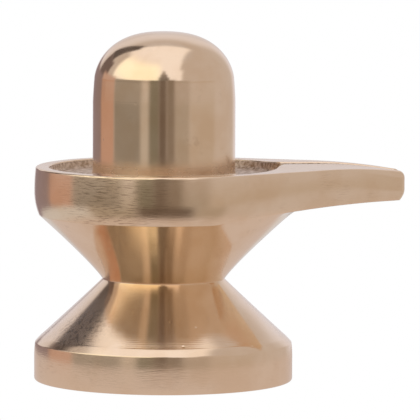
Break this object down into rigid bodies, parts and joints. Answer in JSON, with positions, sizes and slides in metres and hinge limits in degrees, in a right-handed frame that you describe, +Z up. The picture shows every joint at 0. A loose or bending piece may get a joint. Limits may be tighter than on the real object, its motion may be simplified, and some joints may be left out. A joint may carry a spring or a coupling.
{
  "type": "shiva lingam",
  "caption": "Small cast brass shiva lingam: round base, waist, rimmed tray with a spout and water channel, and an upright domed lingam.",
  "frame": {"origin": "centre of the base's flat underside, on the axis that the base, tray and lingam are turned on", "axes": "+Z up along the turned axis, +X along the spout towards its open end, +Y across the spout"},
  "size_m": [0.072, 0.05, 0.0674],
  "materials": {
    "brass": "cast brass, turned bright on the cones and the lingam, filed on the rim and spout, left as cast in the basin and channel"
  },
  "bodies": {
    "root": {"shiva_lingam": "brass"}
  },
  "joints": []
}
